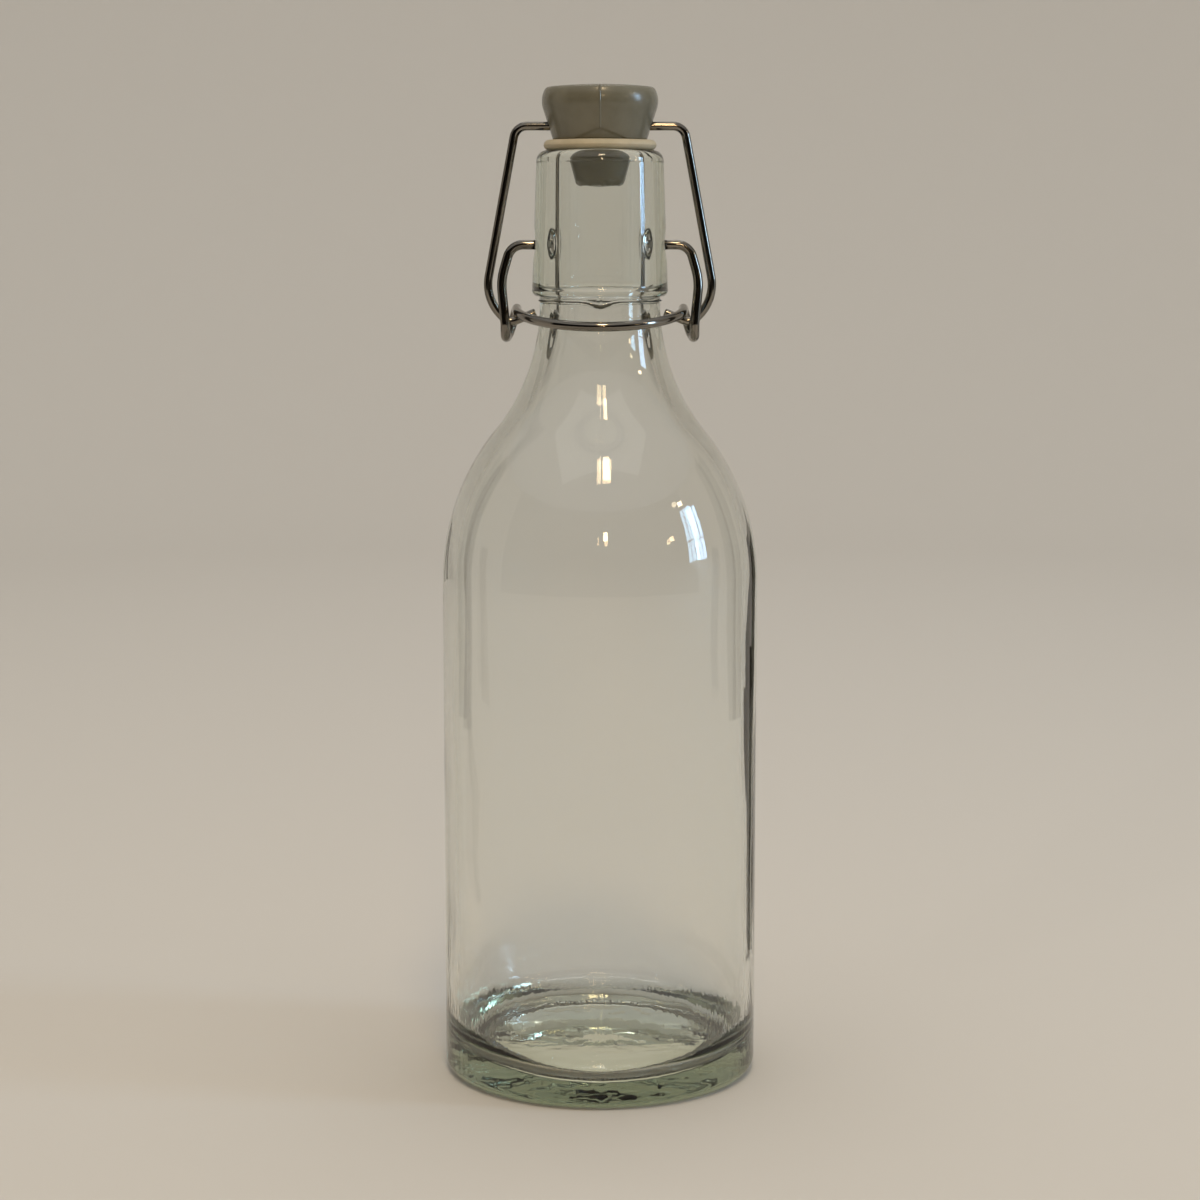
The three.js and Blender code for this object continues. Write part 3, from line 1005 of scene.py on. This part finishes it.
# Lever wire: pin, leg, eye and finger ring, the same on both sides
lever = {
    "wireRadius": 1.1,
    "pinEnd": 12.4,  # from the bottle's axis
    "elbowOut": 20.3,
    "elbowBend": 3.6,
    "bowOut": 22.6,  # where the leg bows outwards most
    "bowDrop": 8,
    "bowBend": 14,
    "eyeOut": 21.65,
    "eyeDrop": 17.8,
    "eyeSetback": 1.6,
    "eyeRadius": 3.3,
    "eyeShift": 2.55,  # the eye moves inwards by this as it turns
    "eyeShiftFrom": 0.2,  # from this share of the turn on
    "ringReach": 22.2,
    "ringFall": 3.35,
}


def leverPath():
    s = lever
    pivot = pivots["lever_swing"]
    slope = math.asin(s["ringFall"] / (s["ringReach"] + s["eyeSetback"]))
    eyeFront = Vector((s["eyeOut"], s["eyeSetback"] - s["eyeRadius"], -s["eyeDrop"]))
    bow = Vector((s["bowOut"], eyeFront.y * s["bowDrop"] / s["eyeDrop"], -s["bowDrop"]))
    corners = [Vector((s["pinEnd"], 0, 0)), Vector((s["elbowOut"], 0, 0)), bow, eyeFront]
    side = bentPath(corners, [s["elbowBend"], s["bowBend"]])[:-1]
    turn = 0.75 * fullTurn + slope  # the eye runs out into the sloping ring
    eyeCount = math.ceil(turn * s["eyeRadius"] / wireStep)
    for i in range(eyeCount + 1):
        share, angle = i / eyeCount, turn * i / eyeCount
        inward = s["eyeShift"] * softStep(s["eyeShiftFrom"], 1, share)
        back = s["eyeSetback"] - s["eyeRadius"] * math.cos(angle)
        side.append(Vector((s["eyeOut"] - inward, back, -s["eyeDrop"] - s["eyeRadius"] * math.sin(angle))))
    start = side[-1]
    reach = (s["ringReach"] + start.y) / math.cos(slope)
    ringCount = math.ceil(math.pi * reach / wireStep)
    ring = []
    for angle in (math.pi * i / ringCount for i in range(1, ringCount)):
        forward = reach * math.sin(angle)
        drop = forward * math.sin(slope)
        ring.append(Vector((start.x * math.cos(angle), start.y - forward * math.cos(slope), start.z - drop)))
    return [p + pivot for p in side + ring + otherSide(side)]


leverWire = sweepWire("bent_lever_wire", leverPath(), lever["wireRadius"])
placePiece(leverWire, "lever_wire", "lever")


# Bail wire: a hook, a splayed leg and the run through the stopper, the same on both sides
bail = {
    "wireRadius": 1,
    "topOut": 19.1,  # corner beside the stopper's head
    "upperBend": 3,
    "lowOut": 26.4,  # corner beside the lever's leg
    "lowerBend": 10,
    "hookRise": 4.7,
    "hookX": 21.9,
    "hookDepth": 1,
    "hookBend": 2.5,
    "tipOut": 14.75,
    "tipRise": 1.5,
}


def bailPath():
    s = bail
    eye, top = pivots["bail_swing"], pivots["stopper_tilt"]
    upwards = (top - eye).normalized()
    length = (top - eye).length
    inward = (s["lowOut"] - s["hookX"]) / s["hookRise"]

    def drawn(x, rise):
        return Vector((x, 0, 0)) + eye + upwards * rise

    corners = [
        drawn(s["tipOut"], s["tipRise"]),
        drawn(s["hookX"] - inward * s["hookDepth"], -s["hookDepth"]),
        drawn(s["lowOut"], s["hookRise"]),
        drawn(s["topOut"], length),
        drawn(0, length),
    ]
    side = bentPath(corners, [s["hookBend"], s["lowerBend"], s["upperBend"]])[:-1]
    return side + otherSide(side)


bailWire = sweepWire("bent_bail_wire", bailPath(), bail["wireRadius"])
placePiece(bailWire, "bail_wire", "bail")


# Stage: a round cove of painted board with painted light glowing on the floor under the bottle, dark cards
# that give the glass its edges, and a dim side of the room that gives the wires their dark cores
cove = {
    "colour": "#c7c2ba",
    "paintedLightColour": "#b5af97",  # painted light: the floor right under the bottle glows this colour for rays through the glass, so the glass shows it pale instead of in the bottle's shadow
    "paintedLightRadius": 27,
    "radius": 1750,
    "bend": 700,
    "bendStep": 40,
    "height": 1300,
    "sides": 128,
}
cards = {
    "colour": "#33302a",
    "right": {"from": (205, 250), "to": (360, 900), "height": 115},
    "left": {"from": (-345, 860), "to": (-420, 860), "height": 115},
    "farRight": {"from": (424, 265), "to": (470, 171), "height": 420},
    "farLeft": {"from": (-424, 265), "to": (-470, 171), "height": 420},
    "floorRight": [(80, 90), (98, 79), (436, 512), (305, 585)],  # lies on the floor
    "floorLift": 1,
}
dimSide = {"colour": "#1d1a17", "span": 75, "step": 5, "inFront": 15}  # behind the camera, for shine alone
paint = {"roughness": 0.9, "shine": 0.1}


def paintedBoard(name, colour, paintedLightColour=None, paintedLightRadius=0):
    material, tree = newMaterial(name)
    shader = addNode(
        tree,
        "ShaderNodeBsdfPrincipled",
        {
            "Base Color": linearColour(colour),
            "Roughness": paint["roughness"],
            "Specular IOR Level": paint["shine"],
        },
    )
    # Painted light: inside the radius the floor glows for rays that come through the glass, standing in for
    # light that clear glass would let through onto it
    if paintedLightColour:
        place = addNode(tree, "ShaderNodeTexCoord").outputs["Object"]
        away = addNode(tree, "ShaderNodeVectorMath", {0: place}, operation="LENGTH").outputs["Value"]
        under = addNode(tree, "ShaderNodeMath", {0: away, 1: paintedLightRadius * mm}, operation="LESS_THAN")
        through = addNode(tree, "ShaderNodeLightPath").outputs["Is Transmission Ray"]
        share = addNode(tree, "ShaderNodeMath", {0: under.outputs[0], 1: through}, operation="MULTIPLY")
        paintedGlow = addNode(tree, "ShaderNodeEmission", {"Color": linearColour(paintedLightColour), "Strength": 1})
        shader = addNode(
            tree, "ShaderNodeMixShader", {0: share.outputs[0], 1: shader.outputs[0], 2: paintedGlow.outputs[0]}
        )
    addNode(tree, "ShaderNodeOutputMaterial", {"Surface": shader.outputs[0]})
    return material


# A card that only shows where light has been mirrored, so that it isn't seen straight through the glass
def mirroredCard(name, colour):
    material, tree = newMaterial(name)
    card = addNode(tree, "ShaderNodeBsdfDiffuse", {"Color": linearColour(colour)})
    clear = addNode(tree, "ShaderNodeBsdfTransparent")
    mirrored = addNode(tree, "ShaderNodeLightPath").outputs["Glossy Depth"]
    share = addNode(tree, "ShaderNodeMath", {0: mirrored, 1: 0.5}, operation="GREATER_THAN")  # once or more
    shader = addNode(
        tree, "ShaderNodeMixShader", {0: share.outputs[0], 1: clear.outputs[0], 2: card.outputs[0]}
    )
    addNode(tree, "ShaderNodeOutputMaterial", {"Surface": shader.outputs[0]})
    return material


def stageObject(name, bm, material):
    mesh = meshFrom(bm, name)
    mesh.materials.append(material)
    board = newObject(name, mesh)
    return board


def coveCurve():
    s = cove
    bend = arcPoints((s["radius"] - s["bend"], s["bend"]), s["bend"], -90, 0, s["bendStep"])
    return bend + [(s["radius"], s["height"])]


def makeCove():
    s = cove
    bm = bmesh.new()
    rings = [[(0, bm.verts.new((0, 0, 0)))]]
    for r, z in coveCurve():
        rings.append([(a, bm.verts.new(ringPoint(r, a, z))) for a in evenAngles(s["sides"])])
    for lower, upper in zip(rings, rings[1:]):
        joinRings(bm, lower, upper)
    for face in bm.faces:
        face.smooth = True
    board = paintedBoard("matt_painted_board", s["colour"], s["paintedLightColour"], s["paintedLightRadius"])
    stageObject("backdrop_cove", bm, board)


def makeCards():
    bm = bmesh.new()
    for card in (c for c in cards.values() if isinstance(c, dict)):
        foot = [Vector((*card[end], 0)) * mm for end in ("from", "to")]
        top = [p + Vector((0, 0, card["height"] * mm)) for p in reversed(foot)]
        bm.faces.new([bm.verts.new(p) for p in foot + top])
    bm.faces.new([bm.verts.new((x * mm, y * mm, cards["floorLift"] * mm)) for x, y in cards["floorRight"]])
    board = stageObject("dark_cards", bm, mirroredCard("matt_dark_card", cards["colour"]))
    board.visible_camera = board.visible_diffuse = board.visible_shadow = False


def makeDimSide():
    s = dimSide
    bm = bmesh.new()
    angles = [math.radians(d - 90) for d in range(-s["span"], s["span"] + 1, s["step"])]
    rings = []
    for r, z in coveCurve():
        near, height = r - s["inFront"], z + s["inFront"]
        rings.append([bm.verts.new(ringPoint(near, a, height)) for a in angles])
    for lower, upper in zip(rings, rings[1:]):
        for a, b, c, d in zip(lower, lower[1:], upper[1:], upper):
            bm.faces.new((a, b, c, d))
    board = stageObject("dim_room_side", bm, paintedBoard("matt_dim_wall", s["colour"]))
    board.visible_camera = board.visible_diffuse = board.visible_transmission = board.visible_shadow = False


makeCove()
makeCards()
makeDimSide()


# Light: a soft bright ceiling over a dim room, a tall window at the right and small warm lamps in front
room = {
    "ceiling": "#fffdf9",
    "ceilingStrength": 0.5,
    "ceilingFrom": (0.1, 0.85),  # sines of the heights between which the walls turn into it
    "walls": "#8d8a88",
    "wallStrength": 0.15,
}
lampTarget = (0, 0, 130)
lamps = {
    "window": {
        "azimuth": 80,
        "elevation": 13,
        "away": 1600,
        "size": (270, 720),
        "panes": (3, 2),
        "bar": 16,  # between the panes
        "power": 10,
        "colour": "#a9cdee",
    },
    "overWindow": {
        "azimuth": 72,
        "elevation": 29,
        "away": 1600,
        "size": (120, 50),
        "power": 0.6,
        "colour": "#ffe9c4",
    },
    "deskLamp": {
        "azimuth": 56,
        "elevation": 17,
        "away": 1600,
        "size": (80, 60),
        "power": 0.3,
        "colour": "#ffe2b4",
    },
    "highLamp": {
        "azimuth": 4.5,
        "elevation": 56,
        "away": 1300,
        "size": (200, 280),
        "power": 4,
        "colour": "#ffe2b4",
    },
    "lowLamp": {
        "azimuth": 4.5,
        "elevation": 22,
        "away": 1500,
        "size": (70, 110),
        "power": 1.2,
        "colour": "#ffdca8",
    },
    "panel": {
        "azimuth": 0,
        "elevation": 88,
        "away": 1800,
        "size": (2200, 2200),
        "power": 14,
        "colour": "#fffdfa",
        "mirrored": False,
    },
    "backdropLamp": {
        "target": (0, 1600, 600),
        "azimuth": 0,
        "elevation": 62,
        "away": 1700,
        "size": (1200, 200),
        "power": 4.5,
        "colour": "#fffdfa",
    },
}


def makeLamp(name, look):
    target = Vector(look.get("target", lampTarget))
    turn, rise = math.radians(look["azimuth"]), math.radians(look["elevation"])
    way = Vector((math.sin(turn) * math.cos(rise), -math.cos(turn) * math.cos(rise), math.sin(rise)))
    facing = way.to_track_quat("Z", "Y")
    columns, rows = look.get("panes", (1, 1))
    wide, tall = (side / count for side, count in zip(look["size"], (columns, rows)))
    for column in range(columns):
        for row in range(rows):
            data = bpy.data.lights.new(name, "AREA")
            data.shape = "RECTANGLE"
            data.size, data.size_y = ((side - look.get("bar", 0)) * mm for side in (wide, tall))
            data.energy = look["power"] / (columns * rows)
            data.color = linearColour(look["colour"])[:3]
            lamp = newObject(name, data)
            shift = Vector((wide * (column - (columns - 1) / 2), tall * (row - (rows - 1) / 2), 0))
            lamp.location = (target + way * look["away"] + facing @ shift) * mm
            lamp.rotation_euler = facing.to_euler()
            lamp.visible_camera = False
            lamp.visible_glossy = look.get("mirrored", True)


def makeRoom():
    world = bpy.data.worlds.new("softRoom")
    bpy.context.scene.world = world
    world.use_nodes = True
    tree = world.node_tree
    tree.nodes.clear()
    way = addNode(tree, "ShaderNodeTexCoord").outputs["Generated"]
    up = addNode(tree, "ShaderNodeSeparateXYZ", {"Vector": way}).outputs["Z"]
    low, full = room["ceilingFrom"]
    high = addNode(
        tree,
        "ShaderNodeMapRange",
        {"Value": up, "From Min": low, "From Max": full},
        interpolation_type="SMOOTHSTEP",
    )
    walls = addNode(
        tree, "ShaderNodeBackground", {"Color": linearColour(room["walls"]), "Strength": room["wallStrength"]}
    )
    ceiling = addNode(
        tree,
        "ShaderNodeBackground",
        {"Color": linearColour(room["ceiling"]), "Strength": room["ceilingStrength"]},
    )
    both = addNode(
        tree, "ShaderNodeMixShader", {0: high.outputs[0], 1: walls.outputs[0], 2: ceiling.outputs[0]}
    )
    addNode(tree, "ShaderNodeOutputWorld", {"Surface": both.outputs[0]})


makeRoom()
for lampName, lampLook in lamps.items():
    makeLamp(lampName, lampLook)
print("stage and light made")
